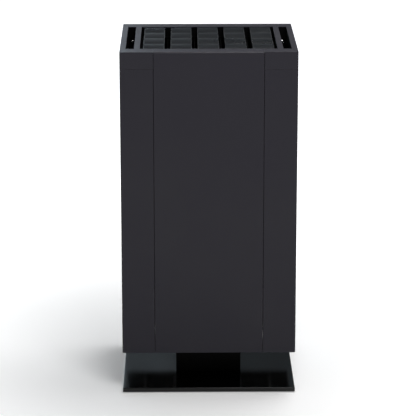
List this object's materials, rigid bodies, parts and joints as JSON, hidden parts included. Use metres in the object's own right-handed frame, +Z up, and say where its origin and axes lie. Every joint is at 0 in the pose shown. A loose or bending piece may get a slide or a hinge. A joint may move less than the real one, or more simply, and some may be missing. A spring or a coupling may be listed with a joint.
{
  "type": "air purifier",
  "caption": "Floor-standing tower air purifier: black steel body on a pedestal and base plate, louvred top outlet, pull-out filter drawer, centrifugal fan.",
  "frame": {"origin": "on the floor, under the middle of the body", "axes": "+Z up, -Y to the front with the drawer, +X to the right as seen from the front"},
  "size_m": [0.4, 0.351, 0.805],
  "materials": {
    "casing_sheet": "smooth satin powder coat, nearly black with a violet cast",
    "crown_coat": "same coat as the casing, semi-gloss on the flat top",
    "base_gloss": "polished black coat",
    "pedestal_coat": "satin black coat",
    "louvre_plastic": "semi-gloss charcoal with fine moulded lines",
    "black_plastic": "matt black moulding",
    "zinc_sheet": "zinc-coated sheet",
    "black_sheet": "matt black primed sheet",
    "screw_steel": "bright zinc plating",
    "pad_rubber": "matt black rubber",
    "gasket_foam": "closed-cell foam",
    "media_paper": "white pleated glass-fibre paper",
    "filter_card": "light grey filter frame",
    "carbon": "black carbon granules",
    "screen_plastic": "dark grey washable screen",
    "cast_aluminium": "bead-blasted aluminium",
    "motor_winding": "varnished copper windings on steel",
    "board_green": "green solder mask with black parts",
    "lead_sheath": "black sheathed lead",
    "knob_plastic": "fine matt black moulding"
  },
  "bodies": {
    "casing": {"foot_pads": "pad_rubber", "base_plate": "base_gloss", "pedestal": "pedestal_coat", "plate_screws": "screw_steel", "pan_screws": "screw_steel", "bottom_pan": "black_sheet", "screen_rails": "black_sheet", "chassis_left": "black_sheet", "chassis_right": "black_sheet", "left_shell": "casing_sheet", "right_shell": "casing_sheet", "crown": "crown_coat", "rear_panel": "casing_sheet", "rear_screws": "screw_steel", "left_pocket": "black_plastic", "right_pocket": "black_plastic", "pocket_screws": "screw_steel", "louvre_frame": "black_plastic", "finger_guard": "black_plastic", "louvre_board_1": "louvre_plastic", "louvre_board_2": "louvre_plastic", "louvre_board_3": "louvre_plastic", "louvre_board_4": "louvre_plastic", "louvre_board_5": "louvre_plastic", "drawer_rails": "zinc_sheet", "drawer_catches": "zinc_sheet", "filter_seat": "black_sheet", "seat_angles": "black_sheet", "front_bulkhead": "black_sheet", "fan_deck": "black_sheet", "inlet_ring": "cast_aluminium", "bracket_posts": "cast_aluminium", "motor_bracket": "black_sheet", "motor_stator": "motor_winding", "motor_bearings": "screw_steel", "control_recess": "black_plastic", "power_inlet": "black_plastic", "switch_body": "black_plastic", "speed_dial_base": "cast_aluminium", "power_supply": "zinc_sheet", "control_board": "board_green", "board_posts": "black_plastic", "mains_lead": "lead_sheath", "motor_lead": "lead_sheath"},
    "filter_drawer": {"front_panel": "casing_sheet", "drawer_tray": "zinc_sheet", "hepa_frame": "filter_card", "hepa_media": "media_paper", "carbon_frame": "zinc_sheet", "carbon_bed": "carbon", "filter_gasket": "gasket_foam"},
    "left_screen": {"left_screen": "screen_plastic"},
    "right_screen": {"right_screen": "screen_plastic"},
    "fan_wheel": {"motor_rotor": "cast_aluminium", "motor_shaft": "screw_steel", "impeller": "black_plastic", "impeller_screws": "screw_steel"},
    "power_rocker": {"power_rocker": "knob_plastic"},
    "speed_knob": {"speed_knob": "knob_plastic", "dial_shaft": "screw_steel"}
  },
  "joints": [
    {"name": "fan_spin", "type": "hinge", "parent": "casing", "child": "fan_wheel", "pos_m": [0, 0, 0.56], "axis": [0, 0, 1], "continuous": true},
    {"name": "drawer_slide", "type": "slide", "parent": "casing", "child": "filter_drawer", "axis": [0, -1, 0], "range_m": [0, 0.3]},
    {"name": "left_screen_slide", "type": "slide", "parent": "casing", "child": "left_screen", "axis": [-1, 0, 0], "range_m": [0, 0.12]},
    {"name": "right_screen_slide", "type": "slide", "parent": "casing", "child": "right_screen", "axis": [1, 0, 0], "range_m": [0, 0.12]},
    {"name": "rocker_tilt", "type": "hinge", "parent": "casing", "child": "power_rocker", "pos_m": [0, 0.15, 0.1285], "axis": [1, 0, 0], "range_deg": [0, 20]},
    {"name": "knob_turn", "type": "hinge", "parent": "casing", "child": "speed_knob", "pos_m": [0.038, 0.1595, 0.1285], "axis": [0, -1, 0], "range_deg": [0, 270]}
  ]
}
